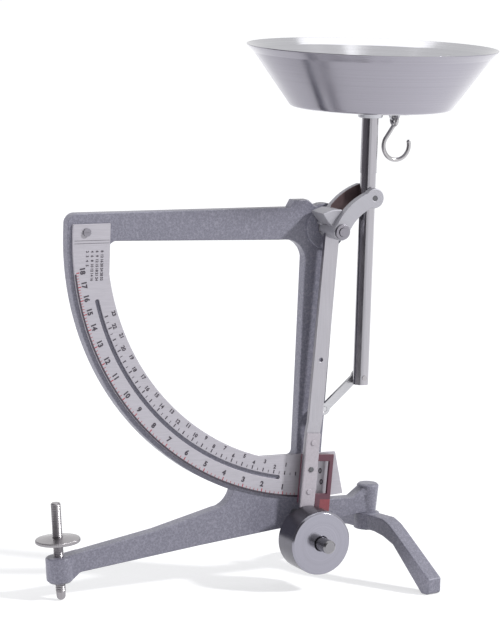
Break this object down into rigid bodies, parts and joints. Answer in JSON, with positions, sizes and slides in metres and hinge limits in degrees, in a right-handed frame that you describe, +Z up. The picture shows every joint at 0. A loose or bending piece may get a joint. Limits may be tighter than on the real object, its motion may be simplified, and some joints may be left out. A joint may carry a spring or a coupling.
{
  "type": "lever balance",
  "caption": "Lever balance: a pan on an upright stem pulls a short forked arm, and a long arm with a weight swings over a quadrant scale on a footed stand",
  "frame": {"origin": "on the bench, midway across the whole balance in X and in Y, as it stands with an empty pan", "axes": "+X to the right along the scale plate, from the levelling screw to the cross leg; +Y to the back, away from the reader of the scale; +Z up"},
  "size_m": [0.2696, 0.1492, 0.317],
  "materials": {
    "hammertone": "hammered grey enamel",
    "scale_plate": "satin plate with printed scales",
    "bright_steel": "bright drawn steel",
    "nickel": "nickel plated",
    "dark_steel": "blackened steel",
    "bronze": "plain bearing bronze",
    "fork_metal": "fine turned and polished",
    "pan_metal": "spun, satin",
    "pointer_white": "light enamel",
    "cursor_red": "dark red lacquer"
  },
  "bodies": {
    "stand": {"frame": "hammertone", "scale_plate": "scale_plate", "plate_screws": "nickel", "base_screw": "nickel", "bearing_bush": "bronze", "link_post": "bright_steel", "cross_leg": "hammertone", "leg_screw": "dark_steel"},
    "lever": {"lever_fork": "fork_metal", "pivot_shaft": "bright_steel", "shaft_nuts": "dark_steel", "fork_pin": "dark_steel", "long_arm": "bright_steel", "pointer_plate": "pointer_white", "cursor": "cursor_red", "arm_rivets": "dark_steel", "weight_post": "nickel"},
    "counterweight": {"weight": "nickel"},
    "pan_stem": {"stem": "nickel", "pan_seat": "fork_metal", "link_pin": "dark_steel"},
    "guide_link": {"lower_link": "bright_steel"},
    "pan": {"pan": "pan_metal"},
    "load_hook": {"hook": "nickel"},
    "foot_screw": {"level_screw": "nickel"},
    "foot_disc": {"level_disc": "nickel"}
  },
  "joints": [
    {"name": "lever_swing", "type": "hinge", "parent": "stand", "child": "lever", "pos_m": [0.04085, -0.00162, 0.211], "axis": [0, 1, 0], "range_deg": [-2, 79]},
    {"name": "stem_swing", "type": "hinge", "parent": "lever", "child": "pan_stem", "pos_m": [0.06181, -0.00162, 0.22987], "axis": [0, 1, 0], "range_deg": [-79, 2]},
    {"name": "link_swing", "type": "hinge", "parent": "stand", "child": "guide_link", "pos_m": [0.04085, -0.00162, 0.1045], "axis": [0, 1, 0], "range_deg": [-2, 79]},
    {"name": "weight_off", "type": "slide", "parent": "lever", "child": "counterweight", "axis": [0, -1, 0], "range_m": [0, 0.035]},
    {"name": "pan_lift", "type": "slide", "parent": "pan_stem", "child": "pan", "axis": [0, 0, 1], "range_m": [0, 0.06]},
    {"name": "hook_swing", "type": "hinge", "parent": "pan_stem", "child": "load_hook", "pos_m": [0.07771, -0.00162, 0.2774], "axis": [0, 1, 0], "range_deg": [-50, 7]},
    {"name": "level_slide", "type": "slide", "parent": "stand", "child": "foot_screw", "axis": [-0.0872, 0, 0.9962], "range_m": [-0.004, 0.004]},
    {"name": "level_turn", "type": "hinge", "parent": "foot_screw", "child": "foot_disc", "pos_m": [-0.12179, 0.01423, 0.03511], "axis": [-0.0872, 0, 0.9962], "range_deg": [-1080, 1080]}
  ],
  "couplings": [
    {"joint": "stem_swing", "follows": "lever_swing", "ratio": -1},
    {"joint": "link_swing", "follows": "lever_swing", "ratio": 1},
    {"joint": "level_slide", "follows": "level_turn", "m_per_rad": 0.00015915}
  ]
}
